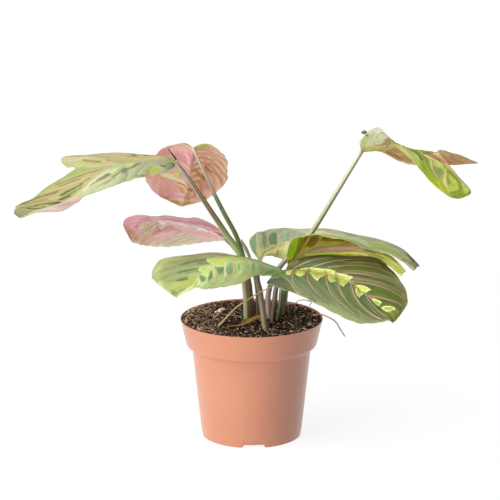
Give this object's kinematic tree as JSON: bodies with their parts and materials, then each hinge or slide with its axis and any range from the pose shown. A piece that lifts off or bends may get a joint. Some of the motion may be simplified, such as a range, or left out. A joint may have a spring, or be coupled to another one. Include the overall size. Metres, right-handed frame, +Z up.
{
  "type": "potted prayer plant",
  "caption": "Potted prayer plant: broad folding and drooping patterned leaves on slender upright stalks, growing from a soil-filled round tapered nursery pot with a collar.",
  "frame": {"origin": "centre of the pot's foot, on the plane it stands on", "axes": "+Z up, -Y towards the front that the picture shows, +X to the right in the picture"},
  "size_m": [0.3862, 0.1383, 0.2646],
  "materials": {
    "pot": "satin terracotta-coloured plastic",
    "soil": "rough dark peat",
    "leaf_upper": "satin leaf, green with yellow-green and pink markings",
    "leaf_under": "satin leaf underside, pink",
    "stalk": "satin fleshy stalk",
    "dry": "dry straw"
  },
  "bodies": {
    "root": {"pot": "pot", "soil": "soil", "leaf_a": "leaf_upper", "leaf_b": "leaf_under", "leaf_c": "leaf_under", "leaf_d": "leaf_upper", "leaf_e": "leaf_upper", "leaf_f": "leaf_upper", "leaf_g": "leaf_upper", "leaf_h": "leaf_upper", "stalk_a": "stalk", "stalk_b": "stalk", "stalk_c": "stalk", "stalk_d": "stalk", "stalk_e": "stalk", "stalk_f": "stalk", "stalk_g": "stalk", "stalk_h": "stalk", "young_shoot": "stalk", "dry_stem": "dry", "dry_sheath": "dry", "dry_root": "dry"}
  },
  "joints": []
}
